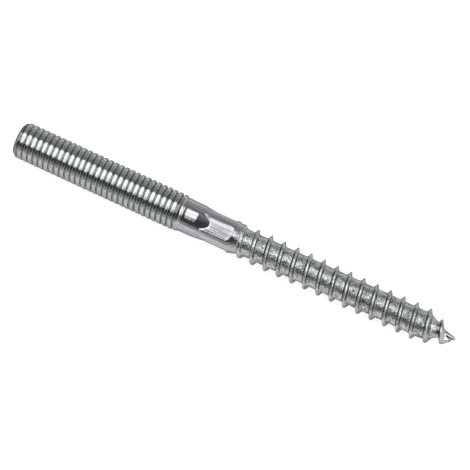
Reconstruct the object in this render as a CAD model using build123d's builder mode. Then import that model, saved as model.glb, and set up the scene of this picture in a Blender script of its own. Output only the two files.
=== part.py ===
"""Double-ended screw: a machine thread at one end, a wood thread with a gimlet point at the other,
and a short plain shank with four wrench flats between them. It is one solid, in millimetres, +Z up.
The screw lies level along X with its machine end towards -X, and touches Z = 0 along that end."""
from math import cos, pi, radians, sin, tan
import os

from build123d import *

os.makedirs("parts", exist_ok=True)

# Lengths along the screw
overall_length = 100.0
machine_length = 39.4  # end face to plain shank, run-out included
machine_runout = 2.5  # the last two turns fade into the shank
plain_length = 1.65  # round shank before the wrench flats
flats_length = 7.6  # lead-in to shoulder

# Machine thread, M8, drawn as its major cylinder
machine_major_dia = 7.9
end_chamfer = 0.65

# Shank and wrench flats
shank_dia = 7.2
across_flats = 6.45
flats_turn = 15.0  # degrees that the upper flat leans towards -Y
lead_in_angle = 9.5  # the round shank tapers into the square at this half angle
lead_in_blend = 8.0  # radius that rounds the start of the taper
shoulder_angle = 18.0  # half angle of the taper down to the wood thread's core

# Wood thread
wood_core_dia = 5.4
wood_major_dia = 7.5
wood_pitch = 3.0
wood_crest_width = 0.35
wood_thread_angle = 60.0  # between the flanks
wood_start = 0.6  # the thread begins this far down the shoulder
wood_start_turn = 160.0  # where its crest begins, in degrees from +Y towards +Z
start_sink = 0.3  # the ridge's first section lies this deep in the shoulder
start_ramp = 0.4  # length over which it comes out
wood_start_dia = 6.8  # the first turn is low and broad
wood_rise = 6.0  # length over which the crest comes up to its full diameter
ridge_root = 0.7  # how deep the ridge is rooted in the body
sections_per_turn = 15

# Gimlet point: a cone, then a slim nib with a blunt tip
point_angle = 27.0
nib_angle = 14.0
nib_length = 3.1
nib_dia = 0.6  # at the blunt tip
nib_foot = 0.2  # the ridge is rooted this far from the axis in the nib
crest_lag = 0.2  # the crest starts to close in this far past the start of the cone
nib_crest_dia = 4.6  # crest diameter where the nib begins
fade_crest_dia = 4.4  # crest diameter where the thread starts to fade out
fade_start = 0.9  # along the nib
fade_length = 1.1

# Worked out from the sizes above
axis_height = max(machine_major_dia, wood_major_dia) / 2
shank_radius = shank_dia / 2
core_radius = wood_core_dia / 2
flats_start = machine_length + plain_length
shoulder_start = flats_start + flats_length
shoulder_end = shoulder_start + (shank_radius - core_radius) / tan(radians(shoulder_angle))
nib_start = overall_length - nib_length
nib_start_radius = nib_dia / 2 + nib_length * tan(radians(nib_angle))
point_start = nib_start - (core_radius - nib_start_radius) / tan(radians(point_angle))
crest_close = point_start + crest_lag
thread_start = shoulder_start + wood_start
ramp_end = thread_start + start_ramp
rise_end = ramp_end + wood_rise
thread_fade = nib_start + fade_start
thread_end = thread_fade + fade_length

# Sketches lie along the screw: local X runs from the machine end, local Y is the radius
lengthwise = Plane(origin=(-overall_length / 2, 0, axis_height), x_dir=(1, 0, 0), z_dir=(0, -1, 0))
screw_axis = Axis((0, 0, axis_height), (1, 0, 0))


def between(along, start, start_size, end, end_size):
    """A size that changes evenly from one place along the screw to another."""
    return start_size + (along - start) / (end - start) * (end_size - start_size)


def body_radius(along):
    """Radius of the round body that carries the wood thread."""
    if along < shoulder_end:
        return between(along, shoulder_start, shank_radius, shoulder_end, core_radius)
    if along < point_start:
        return core_radius
    if along < nib_start:
        return between(along, point_start, core_radius, nib_start, nib_start_radius)
    return between(along, nib_start, nib_start_radius, overall_length, nib_dia / 2)


def crest_radius(along):
    """Radius of the wood thread's crest: low at first, then full, then down round the point."""
    if along < ramp_end:
        sunk_radius = body_radius(thread_start) - start_sink
        return between(along, thread_start, sunk_radius, ramp_end, wood_start_dia / 2)
    if along < rise_end:
        return between(along, ramp_end, wood_start_dia / 2, rise_end, wood_major_dia / 2)
    if along < crest_close:
        return wood_major_dia / 2
    if along < nib_start:
        return between(along, crest_close, wood_major_dia / 2, nib_start, nib_crest_dia / 2)
    if along < thread_fade:
        return between(along, nib_start, nib_crest_dia / 2, thread_fade, fade_crest_dia / 2)
    return between(along, thread_fade, fade_crest_dia / 2, thread_end, nib_dia / 2)


# Round blank: chamfered end, machine cylinder, run-out, shank, shoulder, core and point
with BuildPart() as blank:
    with BuildSketch(lengthwise):
        with BuildLine():
            outline = Polyline(
                (0, 0),
                (0, machine_major_dia / 2 - end_chamfer),
                (end_chamfer, machine_major_dia / 2),
                (machine_length - machine_runout, machine_major_dia / 2),
                (machine_length, shank_radius),
                (shoulder_start, shank_radius),
                (shoulder_end, core_radius),
                (point_start, core_radius),
                (nib_start, nib_start_radius),
                (overall_length, nib_dia / 2),
                (overall_length, 0),
            )
            Line(outline @ 1, outline @ 0)
        make_face()
    revolve(axis=screw_axis)

# Tapered lead-in that the wrench flats leave standing
with BuildPart() as lead_in:
    with BuildSketch(lengthwise):
        with BuildLine():
            base = Polyline((flats_start, 0), (flats_start, shank_radius))
            bend = JernArc(base @ 1, (1, 0), lead_in_blend, -lead_in_angle)
            drop = (bend @ 1).Y - across_flats / 2
            taper = PolarLine(bend @ 1, 2 * drop / sin(radians(lead_in_angle)), -lead_in_angle)
            Polyline(taper @ 1, ((taper @ 1).X, 0), base @ 0)
        make_face()
    revolve(axis=screw_axis)

# What is pressed away over one wrench flat
with BuildPart() as flat_cutter:
    with BuildSketch(lengthwise):
        with Locations((flats_start, across_flats / 2)):
            Rectangle(shoulder_end - flats_start, shank_radius, align=Align.MIN)
    extrude(amount=shank_radius, both=True)
    add(lead_in.part, mode=Mode.SUBTRACT)

# Wood thread, turn by turn: sections in half planes through the axis, lofted round the body
flank_slope = tan(radians(wood_thread_angle / 2))
section_count = round((thread_end - thread_start) / wood_pitch * sections_per_turn)
stations = [between(k, 0, thread_start, section_count, thread_end) for k in range(section_count + 1)]
thread_turns = []
for first in range(0, section_count, sections_per_turn):
    with BuildPart() as thread_turn:
        for along in stations[first : first + sections_per_turn + 1]:
            turn = radians(wood_start_turn) + 2 * pi * (along - thread_start) / wood_pitch
            half_plane = Plane(
                origin=(along - overall_length / 2, 0, axis_height),
                x_dir=(1, 0, 0),
                z_dir=(0, -sin(turn), cos(turn)),
            )
            top = crest_radius(along)
            foot = max(body_radius(max(along, shoulder_end)) - ridge_root, nib_foot)
            sharp = wood_major_dia / 2 if along < crest_close else top
            top_half = wood_crest_width / 2 + (sharp - top) * flank_slope
            foot_half = wood_crest_width / 2 + (sharp - foot) * flank_slope
            with BuildSketch(half_plane):
                Polygon((-foot_half, foot), (foot_half, foot), (top_half, top), (-top_half, top), align=None)
        loft()
    thread_turns.append(thread_turn.part)

# The finished screw: the blank, its four flats a quarter turn apart, and its thread
with BuildPart() as screw:
    add(blank.part)
    for quarter in range(4):
        add(flat_cutter.part.rotate(screw_axis, flats_turn + 90 * quarter), mode=Mode.SUBTRACT)
    for thread_turn in thread_turns:
        add(thread_turn)

screw.part.label = "double_ended_screw"
export_step(screw.part, "parts/double_ended_screw.step")
print("threaded wood turns", len(thread_turns), "volume", round(screw.part.volume, 1), "mm3")
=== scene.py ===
# %% [markdown]
# # A double-ended screw
# One piece of rolled steel, plated with bright zinc, lies on a white table. Its left half has a fine
# machine thread, its right half a coarse wood thread that ends in a gimlet point, and four short flats are
# pressed into the plain shank between them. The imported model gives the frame: where the screw lies, and how
# long it is.

# %% Load the frame
from math import atan2, cos, floor, pi, radians, sin, sqrt, tan

import bmesh
import bpy
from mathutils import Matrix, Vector, noise


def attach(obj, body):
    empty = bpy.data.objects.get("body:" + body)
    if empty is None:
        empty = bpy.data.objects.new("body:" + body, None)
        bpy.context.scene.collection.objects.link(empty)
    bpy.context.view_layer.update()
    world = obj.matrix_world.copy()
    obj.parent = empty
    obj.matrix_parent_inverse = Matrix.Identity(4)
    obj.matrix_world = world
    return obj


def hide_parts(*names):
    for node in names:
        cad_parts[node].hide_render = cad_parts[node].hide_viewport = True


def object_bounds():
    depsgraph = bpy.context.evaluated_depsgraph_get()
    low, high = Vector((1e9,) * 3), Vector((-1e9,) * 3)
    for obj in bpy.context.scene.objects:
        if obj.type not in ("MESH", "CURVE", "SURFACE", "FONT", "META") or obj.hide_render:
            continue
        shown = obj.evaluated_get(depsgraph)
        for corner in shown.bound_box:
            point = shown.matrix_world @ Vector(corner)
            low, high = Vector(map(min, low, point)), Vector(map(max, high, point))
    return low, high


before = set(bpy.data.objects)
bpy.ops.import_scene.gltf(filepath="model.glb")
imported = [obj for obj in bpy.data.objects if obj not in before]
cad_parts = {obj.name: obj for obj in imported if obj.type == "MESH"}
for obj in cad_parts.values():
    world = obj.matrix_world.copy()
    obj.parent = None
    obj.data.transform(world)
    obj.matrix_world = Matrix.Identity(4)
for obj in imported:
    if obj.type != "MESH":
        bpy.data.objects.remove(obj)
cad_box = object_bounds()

TO_MM = 1000  # metres to millimetres
print("its box in mm", [[round(TO_MM * value, 2) for value in corner] for corner in cad_box])

# %% [markdown]
# ## Places along the screw
# Everything on this screw is turned or rolled, so two numbers place any point of its surface: how far along
# the screw it is, and how far it is turned round the axis. The sizes are millimetres from the machine end,
# as a caliper would read them, and a turn is an angle from +Y towards +Z. Both threads are right-handed:
# their crests move towards the point as the turn grows.

# %% Where one part ends and the next starts
screw_length = TO_MM * (cad_box[1][0] - cad_box[0][0])
machine_length = 39.4
plain_length = 1.65  # round shank before the flats
flats_length = 8.45
shoulder_delay = 0.15  # the shoulder starts this far behind the flats
nib_length = 3.1

flats_start = machine_length + plain_length
flats_end = flats_start + flats_length
shoulder_start = flats_end + shoulder_delay
nib_start = screw_length - nib_length
print("flats from", round(flats_start, 2), "to", round(flats_end, 2),
      "shoulder from", round(shoulder_start, 2), "nib from", round(nib_start, 2))

# %% [markdown]
# ## The round body
# First comes the body without its threads: shank, shoulder, core, cone and nib. Seen from the side it is a
# row of straight lines. Such a profile could be spun round the axis, but the threads would then have to be
# joined on. So the body is a radius that a function gives for any place, and a thread only adds to it.
# Where two lines cross, the smaller or the larger one counts, with an eased corner, because a rolled blank
# has no sharp turns.


# %% Helpers that blend sizes
def between(value, start, end):
    """How far a value has come from start to end, held between 0 and 1."""
    return min(max((value - start) / (end - start), 0.0), 1.0)


def eased(value, start, end):
    """The same, but starting and ending gently."""
    part = between(value, start, end)
    return part * part * (3 - 2 * part)


def soft_min(a, b, width):
    """The smaller of two radii, with the corner where they cross rounded."""
    part = between(b - a, -width, width)
    return b + (a - b) * part - width * part * (1 - part)


def soft_max(a, b, width):
    """The larger of two radii, with the corner where they cross filled."""
    return -soft_min(-a, -b, width)


print("where two radii of 3 mm cross, the soft corner is at", soft_min(3.0, 3.0, 0.1), "mm")

# %% Radius of the round body
shank_radius = 3.6
shoulder_slope = tan(radians(18))
shoulder_top_fillet = 0.12
shoulder_foot_fillet = 0.08
wood_core_radius = 2.78
cone_fillet = 0.12
point_slope = tan(radians(27))
nib_fillet = 0.1
nib_slope = tan(radians(14))
nib_tip_radius = 0.3

shoulder_end = shoulder_start + (shank_radius - wood_core_radius) / shoulder_slope
nib_start_radius = nib_tip_radius + nib_length * nib_slope
point_start = nib_start - (wood_core_radius - nib_start_radius) / point_slope


def body_radius(along):
    """Radius of the body that carries the wood thread."""
    shoulder = shank_radius - (along - shoulder_start) * shoulder_slope
    body = soft_max(shoulder, wood_core_radius, shoulder_foot_fillet)
    body = soft_min(shank_radius, body, shoulder_top_fillet)
    cone = nib_start_radius + (nib_start - along) * point_slope
    nib = nib_tip_radius + (screw_length - along) * nib_slope
    return soft_min(body, soft_max(cone, nib, nib_fillet), cone_fillet)


print("shoulder to", round(shoulder_end, 2), "cone from", round(point_start, 2),
      "radius at the shank, core and nib", [round(body_radius(place), 2) for place in (45.0, 60.0, 98.0)])

# %% [markdown]
# ## The wrench flats
# A die presses four flats into the shank for a wrench. Where it starts, the round shank tapers gently, so a
# tongue of it is left standing on each flat up to a rounded tip, and at the other end the flat rises to the
# shoulder. The flats could be cut away, but pressed metal flows and leaves no sharp edges. So the radius
# goes over from the taper to the flat along an arc, and is never more than that of the round body.

# %% Taper and tongue
flat_distance = 3.17  # from the axis to a flat's edges
flats_turn = radians(105)  # the way that one flat faces
taper_delay = 0.6  # the taper starts this far behind the start of the flats
taper_slope = tan(radians(6.5))
taper_fillet = 0.15
tongue_length = 3.25  # from there to the tongue's tip
tongue_round = 1.8  # the tongue's sides end this much before its tip
tongue_edge = 0.2  # the step down from the tongue is twice this wide
corner_edge = 0.8  # and wider by this where it runs out round a corner
corner_zone = (0.95, 1.3)  # in half widths of a flat
flat_half_width = sqrt(shank_radius**2 - flat_distance**2)


def tapered_radius(along):
    """Radius of the round taper that runs into the flats."""
    return shank_radius - soft_max(along - flats_start - taper_delay, 0.0, taper_fillet) * taper_slope


def off_flat_middle(turn):
    """The turn from the middle of the nearest flat."""
    return (turn - flats_turn + pi / 4) % (pi / 2) - pi / 4


def flat_share(along, turn):
    """0 on the tapered tongue, 1 on the flat, and blended across the arc between them."""
    aside = abs(flat_distance * tan(off_flat_middle(turn))) / flat_half_width
    arc = flats_start + taper_delay + tongue_length - tongue_round * min(aside, 1.0) ** 2
    half_blend = tongue_edge + corner_edge * between(aside, *corner_zone)
    return eased(along, arc - half_blend, arc + half_blend)


print("share of the flat along its middle",
      [round(flat_share(place, flats_turn), 2) for place in (44.0, 45.0, 46.0)])

# %% Radius of the pressed shank
flat_crown = 0.11  # the flats are a little higher along their middle
flat_step = 0.05  # and a shallow step runs along each
flat_step_zone = (-0.7, 1.1)  # in mm from the middle
flat_end_slope = tan(radians(40))  # the flat ends in a short rise
flat_end_slant = 0.22  # that isn't quite square to the screw
flat_end_fillet = 0.25
flat_edge_fillet = 0.03


def pressed_radius(along, turn):
    """Radius of the shank and shoulder with the four flats in them."""
    body = body_radius(along)
    if along < flats_start or along > shoulder_end:
        return body
    off_flat = off_flat_middle(turn)
    aside = flat_distance * tan(off_flat)
    flat = flat_distance + flat_crown * (1 - (aside / flat_half_width) ** 2)
    flat -= flat_step * (eased(aside, *flat_step_zone) - 0.5)
    flat += soft_max(along - flats_end + flat_end_slant * aside, 0.0, flat_end_fillet) * flat_end_slope
    taper = tapered_radius(along)
    pressed_in = taper + (min(flat / cos(off_flat), shank_radius) - taper) * flat_share(along, turn)
    return soft_min(body, pressed_in, flat_edge_fillet)


print("radius on a flat", round(pressed_radius(46.0, flats_turn), 3),
      "and on a corner", round(pressed_radius(46.0, flats_turn + pi / 4), 3))

# %% [markdown]
# ## The two threads
# A thread is a ridge that winds round the screw. A section could be swept along a helix, but a sweep
# doesn't run out into the metal as a rolled ridge does. Here the distance from the crest line, measured
# along the screw, sets the ridge's height. The machine thread has 60 degree flanks, a broad rolled crest
# and a rounded root. The chamfer at the end cuts it off, and it flattens into the shank over its last two
# turns. The wood thread has steeper flanks and stands on a thin core: it rises out of the shoulder, closes
# in round the point, and fades out on the nib.

# %% Machine thread
machine_pitch = 1.25
machine_major_radius = 3.95
machine_root_radius = 3.44
machine_crest_width = 0.64
machine_crest_fillet = 0.05
machine_root_fillet = 0.1
machine_flank_slope = 1 / tan(radians(30))
machine_runout = 2.5
end_chamfer = 0.65
crest_sight_turn = radians(18.5)  # the side of the screw where the crests' places are read
machine_crest_at = 1.18  # where one crest crosses that side


def from_crest(along, turn, crest_at, pitch):
    """Distance along the screw from the nearest crest, positive towards the point."""
    crest = crest_at + pitch * (turn - crest_sight_turn) / (2 * pi)
    return (along - crest + pitch / 2) % pitch - pitch / 2


def machine_radius(along, turn):
    """Radius of the machine thread, with its chamfered end and its run-out."""
    off = abs(from_crest(along, turn, machine_crest_at, machine_pitch))
    ridge = machine_major_radius - (off - machine_crest_width / 2) * machine_flank_slope
    ridge = soft_min(machine_major_radius, ridge, machine_crest_fillet)
    thread = soft_max(ridge, machine_root_radius, machine_root_fillet)
    fade = eased(along, machine_length - machine_runout, machine_length)
    thread += (shank_radius - thread) * fade
    return min(thread, machine_major_radius - end_chamfer + along)


print("a machine crest's radius", round(machine_radius(20.0 + machine_crest_at, crest_sight_turn), 3))

# %% Crest of the wood thread
wood_pitch = 3.0
wood_start = shoulder_start + 0.4
wood_start_sink = 0.3  # the crest starts this deep in the shoulder
wood_start_radius = 3.4
wood_ramp = 0.4  # it comes out over this length
wood_rise = 6.0  # and reaches its full radius over this
wood_crest_radius = 3.75
crest_close = point_start + 0.2
nib_crest_radius = 2.3
fade_start = nib_start + 0.9
fade_crest_radius = 2.2
fade_end = fade_start + 1.1


def crest_radius(along):
    """Radius of the wood thread's crest at a place along the screw."""
    if along < wood_start + wood_ramp:
        sunk = body_radius(wood_start) - wood_start_sink
        return sunk + (wood_start_radius - sunk) * (along - wood_start) / wood_ramp
    if along < crest_close:
        risen = between(along, wood_start + wood_ramp, wood_start + wood_ramp + wood_rise)
        return wood_start_radius + risen * (wood_crest_radius - wood_start_radius)
    if along < nib_start:
        closed = between(along, crest_close, nib_start)
        return wood_crest_radius + closed * (nib_crest_radius - wood_crest_radius)
    if along < fade_start:
        lowered = between(along, nib_start, fade_start)
        return nib_crest_radius + lowered * (fade_crest_radius - nib_crest_radius)
    return fade_crest_radius + between(along, fade_start, fade_end) * (nib_tip_radius - fade_crest_radius)


print("the wood crest's radius on its way",
      [round(crest_radius(place), 2) for place in (51.0, 53.0, 60.0, 95.0, 98.0)])

# %% Radius of the wood thread
wood_crest_at = 51.07  # where one crest crosses the side that the places are read on
wood_crest_width = 0.2
wood_crest_fillet = 0.04
wood_root_fillet = 0.16
wood_flank_slope = 1 / tan(radians(27))
point_run_zone = (96.6, 97.6)  # from here the last ridge's front runs down to the tip
point_run_slope = 0.85


def wood_radius(along, turn):
    """Radius of the shoulder, core and point with the wood thread's ridge on them."""
    body = pressed_radius(along, turn)
    off = from_crest(along, turn, wood_crest_at, wood_pitch)
    crest = along - off
    if crest < wood_start or crest > fade_end:
        return body
    top = crest_radius(crest)
    sharp = wood_crest_radius if crest < crest_close else top
    slope = wood_flank_slope
    if off > 0:
        slope += (point_run_slope - slope) * eased(crest, *point_run_zone)
    ridge = sharp - max(abs(off) - wood_crest_width / 2, 0.0) * slope
    return soft_max(body, soft_min(top, ridge, wood_crest_fillet), wood_root_fillet)


print("a wood crest's radius", round(wood_radius(wood_crest_at + 7 * wood_pitch, crest_sight_turn), 3))

# %% [markdown]
# ## Grids that follow the threads
# A thread's crest stays sharp only if the mesh has a line of edges along it. A square grid would need far
# more faces for that. So each threaded stretch starts as one vertex that is drawn out into a chain one
# pitch long, and the chain is swept once round the axis while it moves forward by one pitch. That is one
# turn of the tube, and copies of it, each a whole number of pitches further on, make the rest. Merging
# their doubles closes the tube, and two cuts trim it square.

# %% A chain of vertices
blank_radius = 3.0  # any radius will do until the skin gets its true one


def chain(start, length, links):
    """One vertex, drawn out along the X axis into a row of edges, in millimetres."""
    row = bmesh.new()
    row.verts.new((start, blank_radius, 0))
    bmesh.ops.spin(row, geom=row.verts[:], cent=(0, 0, 0), axis=(1, 0, 0), angle=0.0, steps=links,
                   dvec=(length / links, 0, 0), use_merge=False)
    return row


def all_of(shape):
    """Every vertex, edge and face of a shape."""
    return shape.verts[:] + shape.edges[:] + shape.faces[:]


def verts_among(items):
    """The vertices among some vertices, edges and faces."""
    return [item for item in items if isinstance(item, bmesh.types.BMVert)]


def count(shape):
    """How much a shape is made of, in words."""
    return (f"{len(shape.verts)} vertices, {len(shape.faces)} faces, "
            f"{sum(edge.is_boundary for edge in shape.edges)} open edges")


# %% One turn, copied along the screw
merge_reach = 0.01  # vertices that are nearer than this become one
cut_reach = 0.004  # and a cut takes those that are nearer than this


def threaded_tube(start, end, crest_at, pitch, links, steps):
    """A tube round the X axis whose grid follows a thread, in millimetres."""
    first = crest_at - pitch * crest_sight_turn / (2 * pi) - pitch / 2
    first += pitch * (floor((start - first) / pitch) - 1)
    tube = chain(first, pitch, links)
    bmesh.ops.spin(tube, geom=all_of(tube), cent=(0, 0, 0), axis=(1, 0, 0), angle=2 * pi,
                   steps=steps, dvec=(pitch / steps, 0, 0), use_merge=False)
    turns = 1
    while first + turns * pitch < end + pitch:
        copied = bmesh.ops.duplicate(tube, geom=all_of(tube))["geom"]
        bmesh.ops.translate(tube, verts=verts_among(copied), vec=(turns * pitch, 0, 0))
        turns *= 2
    bmesh.ops.remove_doubles(tube, verts=tube.verts[:], dist=merge_reach)
    for place, at_start in ((start, True), (end, False)):
        bmesh.ops.bisect_plane(tube, geom=all_of(tube), dist=cut_reach, plane_co=(place, 0, 0),
                               plane_no=(1, 0, 0), clear_inner=at_start, clear_outer=not at_start)
    return tube


trial = threaded_tube(10.0, 20.0, machine_crest_at, machine_pitch, 8, 24)
print("a trial of the threaded tube:", count(trial))
trial.free()

# %% [markdown]
# ## A plain tube for the shank
# Nothing winds round the shank, but its flats want finer steps round the axis than a thread does. The
# ready-made cone of bmesh would have no rings along it, so the chain of vertices serves again: it is spun
# once round the axis and merged where it meets itself.


# %% The shank's tube
def plain_tube(start, end, links, steps):
    """A tube round the X axis with square rings, in millimetres."""
    tube = chain(start, end - start, links)
    bmesh.ops.spin(tube, geom=all_of(tube), cent=(0, 0, 0), axis=(1, 0, 0), angle=2 * pi,
                   steps=steps, use_merge=True)
    return tube


trial = plain_tube(40.0, 48.0, 8, 24)
print("a trial of the plain tube:", count(trial))
trial.free()

# %% [markdown]
# ## One closed skin
# The screw is one piece of steel, so its mesh is one skin too. Separate meshes that overlap would show a
# seam and couldn't be printed. Three tubes cover the screw: a helical one for each thread, and a plain one
# for the shank. Narrow bridges join their square ends.

# %% Make the tubes and join them
machine_links = 16  # along one pitch
wood_links = 20
shank_links = 90  # along the whole shank
thread_steps = 72  # round the axis
shank_steps = 216
seam = 0.1  # length of a bridge
tip_round = 0.15  # kept free for the blunt tip

skin = bmesh.new()
for tube in (
    threaded_tube(0.0, machine_length, machine_crest_at, machine_pitch, machine_links, thread_steps),
    plain_tube(machine_length + seam, shoulder_start - seam, shank_links, shank_steps),
    threaded_tube(shoulder_start, screw_length - tip_round, wood_crest_at, wood_pitch, wood_links,
                  thread_steps),
):
    carrier = bpy.data.meshes.new("carrier")
    tube.to_mesh(carrier)
    skin.from_mesh(carrier)
    tube.free()
    bpy.data.meshes.remove(carrier)


def open_loop(place):
    """The open edges at one place along the screw."""
    return [edge for edge in skin.edges
            if edge.is_boundary and all(abs(vert.co.x - place) < merge_reach for vert in edge.verts)]


for before, after in ((machine_length, machine_length + seam), (shoulder_start - seam, shoulder_start)):
    bmesh.ops.bridge_loops(skin, edges=open_loop(before) + open_loop(after))
print("skin:", count(skin))

# %% [markdown]
# ## Bring the skin to its true radius
# Every vertex knows its place along the screw and its turn, so the radii above put it where it belongs. The
# steel isn't quite even: rolling leaves the wood thread's core faintly lumpy and its crests a little
# ragged. A bump map alone wouldn't show that in the outline, so a smooth noise with a fixed pattern moves
# the mesh. Two attributes note how far each vertex is pressed in, and how high it stands on a ridge, for
# the finish.

# %% Uneven rolled steel
lump_rate_along = 0.9  # the lumps follow one another a little closer across the screw
lump_rate_across = 1.3
coarse_lump = 0.03  # in mm
fine_lump = 0.016
fine_lump_rate = 2.7  # the fine lumps are this many times closer


def lumps(along, turn, radius):
    """How far the rolled surface stands proud or shy of its true radius."""
    if along < shoulder_start:
        return 0.0
    grown = eased(along, shoulder_start, shoulder_end)
    place = Vector((along * lump_rate_along, radius * cos(turn) * lump_rate_across,
                    radius * sin(turn) * lump_rate_across))
    coarse = noise.noise(place) * coarse_lump
    fine = noise.noise(place * fine_lump_rate) * fine_lump
    return grown * (coarse + fine)


print("lumps along the core", [round(lumps(place, 0.0, wood_core_radius), 3) for place in (60, 61, 62)])


# %% The whole screw's radius
def true_radius(along, turn):
    """Radius of the whole screw at a place and a turn."""
    if along <= machine_length:
        return machine_radius(along, turn)
    if along < shoulder_start:
        return pressed_radius(along, turn)
    radius = wood_radius(along, turn)
    return radius + lumps(along, turn, radius)


full_press = 0.04  # a surface this far under the round body counts as fully pressed
ridge_zone = (0.1, 0.7)  # from a ridge's foot to its crest, in mm above the body
pressed = skin.verts.layers.float.new("pressed")
ridge = skin.verts.layers.float.new("ridge")
for vert in skin.verts:
    along = vert.co.x
    turn = atan2(vert.co.z, vert.co.y)
    radius = true_radius(along, turn)
    body = machine_root_radius if along < machine_length else body_radius(along)
    vert[pressed] = between(body - radius, 0.0, full_press) * flat_share(along, turn)
    vert[ridge] = between(radius - body, *ridge_zone)
    vert.co = (along, radius * cos(turn), radius * sin(turn))
print("radii from", round(min(vert.co.yz.length for vert in skin.verts), 2), "to",
      round(max(vert.co.yz.length for vert in skin.verts), 2))

# %% [markdown]
# ## The two ends
# The machine end is cut off square, and the point has a small blunt tip. Each is still an open ring of the
# skin, so a face could simply fill it. The cut end also gets an inset rim, which keeps its smooth shading
# flat, and the tip's ring is first drawn out and narrowed, so that it looks worn and not cut.

# %% Close the two ends
end_rim = 0.12
tip_narrowing = 0.55

end_face = bmesh.ops.holes_fill(skin, edges=open_loop(0.0), sides=0)["faces"]
bmesh.ops.inset_region(skin, faces=end_face, thickness=end_rim, depth=0.0, use_even_offset=True)
tip = bmesh.ops.extrude_edge_only(skin, edges=open_loop(screw_length - tip_round))["geom"]
bmesh.ops.translate(skin, verts=verts_among(tip), vec=(tip_round, 0, 0))
bmesh.ops.scale(skin, verts=verts_among(tip), vec=(1, tip_narrowing, tip_narrowing))
bmesh.ops.holes_fill(skin, edges=[edge for edge in skin.edges if edge.is_boundary], sides=0)
bmesh.ops.recalc_face_normals(skin, faces=skin.faces[:])
print("closed skin:", count(skin))

# %% [markdown]
# ## Lay the screw in the frame
# So far the screw is in millimetres, round the X axis and from its machine end. It could be moved and
# scaled as an object, but a pattern on Object coordinates would then move too. So its vertices go where the
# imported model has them, and the object stays at the origin. The screw rests on its machine thread, the
# thickest part.

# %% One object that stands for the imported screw
MM = 0.001  # in metres
machine_end_x = TO_MM * cad_box[0][0]
axis_height = TO_MM * cad_box[1][2] - machine_major_radius

bmesh.ops.translate(skin, verts=skin.verts[:], vec=(machine_end_x, 0, axis_height))
bmesh.ops.scale(skin, verts=skin.verts[:], vec=(MM, MM, MM))
screw_mesh = bpy.data.meshes.new("rolled_screw")
skin.to_mesh(screw_mesh)
print("triangles", sum(len(face.verts) - 2 for face in skin.faces),
      "volume in mm3", round(skin.calc_volume() * TO_MM**3, 1))
skin.free()
screw_mesh.shade_smooth()
screw = bpy.data.objects.new("rolled_screw", screw_mesh)
bpy.context.scene.collection.objects.link(screw)
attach(screw, "root")
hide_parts("double_ended_screw")

# %% [markdown]
# ## Words for shader maths
# A material is a net of nodes, and long sums of Math nodes are hard to read. So a reading wraps one socket,
# and the usual operators on it add the Math nodes. A finish holds one node tree, and its only method for
# making a node takes the node's type, its settings, and the values or links of its sockets.


# %% Readings and finishes
class Reading:
    """A socket that can stand in a Python expression."""

    def __init__(self, finish, socket):
        self.finish = finish
        self.socket = socket

    def maths(self, operation, first, second):
        """A Math node that works on two readings or numbers."""
        settings = {"operation": operation}
        return self.finish.node("ShaderNodeMath", settings, {0: first, 1: second})[0]

    def __add__(self, other):
        return self.maths("ADD", self, other)

    def __sub__(self, other):
        return self.maths("SUBTRACT", self, other)

    def __rsub__(self, other):
        return self.maths("SUBTRACT", other, self)

    def __mul__(self, other):
        return self.maths("MULTIPLY", self, other)

    __radd__ = __add__
    __rmul__ = __mul__

    def within(self, start, end):
        """0 below start, 1 above end, and eased between them."""
        settings = {"interpolation_type": "SMOOTHSTEP", "clamp": True}
        inputs = {0: self, 1: start, 2: end, 3: 0.0, 4: 1.0}
        return self.finish.node("ShaderNodeMapRange", settings, inputs)[0]


class Finish:
    """The node tree of a material or of the surroundings."""

    def __init__(self, owner):
        owner.use_nodes = True
        self.tree = owner.node_tree
        self.tree.nodes.clear()

    def node(self, kind, settings, inputs):
        """Make a node, and give its outputs as readings."""
        made = self.tree.nodes.new(kind)
        for name, value in settings.items():
            setattr(made, name, value)
        for name, value in inputs.items():
            if isinstance(value, Reading):
                self.tree.links.new(value.socket, made.inputs[name])
            else:
                made.inputs[name].default_value = value
        return [Reading(self, socket) for socket in made.outputs]


# %% [markdown]
# ## Bright zinc
# The screw is steel with a thin, bright coat of zinc. Up close such a coat is a mirror that's a little
# blurred and never even: rolling leaves marks that run along the shank and the flats, and the wood thread's
# core is mottled. All of that is too shallow for the mesh, and one even colour would look like plastic, so
# noise drives the colour, the roughness and a bump. The noise follows the screw's own coordinates, and the
# two attributes of the mesh say where the flats and the ridges are.

# %% Where each finish lies
zinc = bpy.data.materials.new("bright_zinc")
coat = Finish(zinc)
here = coat.node("ShaderNodeTexCoord", {}, {})[3]
pressed_here = coat.node("ShaderNodeAttribute", {"attribute_name": "pressed"}, {})[2]
ridge_here = coat.node("ShaderNodeAttribute", {"attribute_name": "ridge"}, {})[2]
along_here = coat.node("ShaderNodeSeparateXYZ", {}, {0: here})[0] * TO_MM

# Each finish goes over to the next between two places, in mm from the screw's middle
cut_end_zone = (-49.6, -49.1)
shank_zone = (-11.5, -10.5)
wood_zone = (-0.6, 1.6)
nib_zone = (45.4, 46.6)

cut_end = 1 - along_here.within(*cut_end_zone)
on_nib = along_here.within(*nib_zone)
in_wood = along_here.within(*wood_zone) * (1 - on_nib)
on_shank = along_here.within(*shank_zone) * (1 - in_wood)
print("the zones take", len(coat.tree.nodes), "nodes")


# %% Patterns in the zinc
def noise_of(stretch, scale, detail, roughness=0.55):
    """A noise from 0 to 1 whose pattern may be drawn out along the screw."""
    mapping = coat.node("ShaderNodeMapping", {}, {0: here, 3: (TO_MM / stretch, TO_MM, TO_MM)})[0]
    inputs = {"Vector": mapping, "Scale": scale, "Detail": detail, "Roughness": roughness}
    return coat.node("ShaderNodeTexNoise", {}, inputs)[0]


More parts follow.
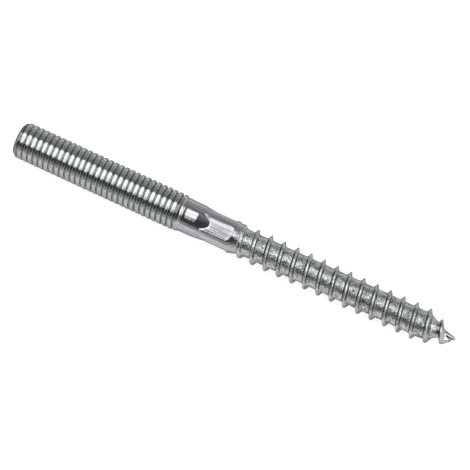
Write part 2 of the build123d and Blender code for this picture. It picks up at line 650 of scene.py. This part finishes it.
streaks = noise_of(14, 2.2, 3.0)
fine_streaks = noise_of(30, 6.0, 2.0)
mottle = noise_of(1.3, 1.2, 4.0, 0.65)
peel = noise_of(1.0, 4.0, 3.0, 0.65)
print("with the patterns", len(coat.tree.nodes), "nodes")

# %% Colour of the zinc
thread_bright = (0.475, 0.49, 0.497, 1)  # the threads are cooler and more mottled than the shank
thread_dull = (0.085, 0.09, 0.093, 1)
shank_bright = (0.405, 0.4, 0.42, 1)
shank_dull = (0.3, 0.297, 0.315, 1)
mottle_dulling = 0.45
peel_dulling = 0.55
machine_share = 0.35  # of the mottling, on the machine thread
wood_share = 0.65  # and this much more on the wood thread
ridge_shine = 0.3  # ridges are rubbed brighter
smooth_dulling = 0.2  # even, where nothing is mottled
# darkens the colour over the chamfer at the machine end
end_darkening = 0.5
shank_streaking = 0.7
flat_streaking = 0.5


def mixed(factor, first, second):
    """A colour between two colours."""
    return coat.node("ShaderNodeMix", {"data_type": "RGBA"}, {0: factor, 6: first, 7: second})[2]


dulling = mottle.within(0.48, 0.6) * mottle_dulling + peel.within(0.48, 0.58) * peel_dulling
dulling = dulling * (machine_share + in_wood * wood_share) * (1 - ridge_here * ridge_shine)
dulling += (1 - in_wood - on_nib) * smooth_dulling + cut_end * end_darkening
streaking = streaks.within(0.42, 0.6) * (shank_streaking + pressed_here * flat_streaking)
thread_colour = mixed(dulling, thread_bright, thread_dull)
shank_colour = mixed(streaking, shank_bright, shank_dull)
colour = mixed(on_shank, thread_colour, shank_colour)
print("with the colours", len(coat.tree.nodes), "nodes")

# %% Polish and depth of the zinc
polish = 0.14  # roughness of the brightest zinc
mottle_roughness = 0.06
flat_roughness = 0.12
roughness = polish + in_wood * mottle.within(0.4, 0.65) * mottle_roughness + pressed_here * flat_roughness

streak_depth = 0.012  # depths in mm, because the bump's distance is 1 mm
fine_streak_depth = 0.002
flat_streak_depth = 0.06
mottle_depth = 0.06
peel_depth = 0.06
ridge_smoothing = 0.4  # ridges are rubbed smoother
thread_peel_depth = 0.012
height = (
    on_shank * (streaks * streak_depth + fine_streaks * fine_streak_depth)
    + pressed_here * streaks * flat_streak_depth
    + in_wood * (mottle * mottle_depth + peel * peel_depth) * (1 - ridge_here * ridge_smoothing)
    + (1 - on_shank) * peel * thread_peel_depth
)
bump = coat.node("ShaderNodeBump", {}, {"Height": height, "Distance": MM, "Strength": 1.0})[0]
print("with the bump", len(coat.tree.nodes), "nodes")

# %% The finished zinc
glance = (0.3, 0.3, 0.3, 1)  # keeps the screw's edges from shining white
metal = {"Base Color": colour, "Metallic": 1.0, "Roughness": roughness, "Normal": bump,
         "Specular Tint": glance}
shader = coat.node("ShaderNodeBsdfPrincipled", {}, metal)[0]
coat.node("ShaderNodeOutputMaterial", {}, {"Surface": shader})
screw_mesh.materials.append(zinc)
print("bright zinc has", len(coat.tree.nodes), "nodes")

# %% [markdown]
# ## The table
# The photograph is a catalogue picture on pure white, so the table is a large white sheet. Lamps alone
# would leave it grey under the screw, so it also gives off a little light of its own, as a lit table does.

# %% A white table
table_half = 4.0  # m
paper_grey = 0.36
paper_glow = 0.82

sheet = bmesh.new()
bmesh.ops.create_grid(sheet, x_segments=1, y_segments=1, size=table_half)
table_mesh = bpy.data.meshes.new("white_table")
sheet.to_mesh(table_mesh)
sheet.free()
table = bpy.data.objects.new("white_table", table_mesh)
bpy.context.scene.collection.objects.link(table)

white = bpy.data.materials.new("white_sheet")
lit_sheet = Finish(white)
paper = {"Base Color": (paper_grey, paper_grey, paper_grey, 1), "Roughness": 0.7,
         "Emission Color": (1, 1, 1, 1), "Emission Strength": paper_glow}
shader = lit_sheet.node("ShaderNodeBsdfPrincipled", {}, paper)[0]
lit_sheet.node("ShaderNodeOutputMaterial", {}, {"Surface": shader})
table_mesh.materials.append(white)
print("table", 2 * table_half, "m wide")

# %% [markdown]
# ## Studio light
# Metal shows what stands round it, so the light is chosen by what the screw should mirror. A picture of a
# studio could surround it, but soft boxes are easier to place, and the edge of a box is the edge of a
# highlight. A long box hangs over the machine end, a narrow one beside it on the camera's side, and a tall
# one stands beyond the point, high enough to look down on the wood thread.


# %% Soft boxes
def soft_box(name, centre, aim, size, radiance):
    """A rectangular light that shines evenly from its whole face."""
    lamp = bpy.data.lights.new(name, "AREA")
    lamp.shape = "RECTANGLE"
    lamp.size, lamp.size_y = size
    lamp.energy = radiance * pi * size[0] * size[1]
    box = bpy.data.objects.new(name, lamp)
    box.location = centre
    box.rotation_euler = (Vector(aim) - Vector(centre)).to_track_quat("-Z", "Y").to_euler()
    bpy.context.scene.collection.objects.link(box)
    print(name, "gives", round(lamp.energy, 1), "W")


soft_box("long_box", centre=(-0.7125, 0.045, 0.8), aim=(-0.7125, 0.045, 0), size=(1.335, 0.69), radiance=2.5)
soft_box("side_box", centre=(-0.78, -0.45, 0.8), aim=(-0.78, -0.45, 0), size=(1.2, 0.3), radiance=2.5)
soft_box("end_box", centre=(0.783, 0.1, 0.6225), aim=(0, 0.1, 0), size=(0.74, 1.375), radiance=2.6)

# %% [markdown]
# ## The room
# Between the soft boxes the screw mirrors the room. One even grey would leave no dark bands beside the
# highlights. So the room is pale behind the screw and dim on the camera's side, with a pale rim just over
# the table, and a bright wall far beyond the machine end.

# %% The room round the screw
room_tint = (0.97, 0.985, 1, 1)
back_glow = 0.7  # at the table's height
back_fall = 0.4  # and less by this much overhead
front_glow = 0.11
front_fall = 0.05
rim_glow = 0.48
wall_glow = 0.8

room = bpy.data.worlds.new("dim_room")
bpy.context.scene.world = room
air = Finish(room)
direction = air.node("ShaderNodeTexCoord", {}, {})[0]
across, far, up = air.node("ShaderNodeSeparateXYZ", {}, {0: direction})
behind = back_glow - up.within(0.0, 1.1) * back_fall
near = front_glow - up.within(0.4, 1.1) * front_fall + (1 - up.within(0.28, 0.42)) * rim_glow
light = near + far.within(-0.2, 0.4) * (behind - near) + (1 - across.within(-0.95, -0.85)) * wall_glow
shader = air.node("ShaderNodeBackground", {}, {"Color": room_tint, "Strength": light})[0]
air.node("ShaderNodeOutputWorld", {}, {"Surface": shader})
print("the room has", len(air.tree.nodes), "nodes")

# %% [markdown]
# ## The camera
# The screw is small and was photographed from afar through a long lens, almost from above, and a little
# from its point's side. The angles were found by fitting the crests of both threads, because a thread is a
# ruler: the way that its steps shrink in the picture gives the distance and the lean.

# %% Camera
azimuth = radians(26.25)
elevation = radians(69.2)
distance = 0.495  # m
film_width = 36.0  # mm
focal_length = 183.8
aim_along = 49.9  # mm from the machine end
aim_aside = 0.515  # mm from the axis, towards the top of the picture

to_camera = Vector((sin(azimuth) * cos(elevation), -cos(azimuth) * cos(elevation), sin(elevation)))
aim = Vector((machine_end_x + aim_along, aim_aside * cos(crest_sight_turn),
              axis_height + aim_aside * sin(crest_sight_turn))) * MM
lens = bpy.data.cameras.new("camera")
lens.sensor_width = film_width
lens.lens = focal_length
lens.clip_end = 20.0
camera = bpy.data.objects.new("camera", lens)
camera.location = aim + to_camera * distance
camera.rotation_euler = (-to_camera).to_track_quat("-Z", "Y").to_euler()
bpy.context.scene.collection.objects.link(camera)
bpy.context.scene.camera = camera
bpy.context.scene.view_settings.view_transform = "Standard"  # keeps the table's white pure
print("camera at", [round(value, 3) for value in camera.location])
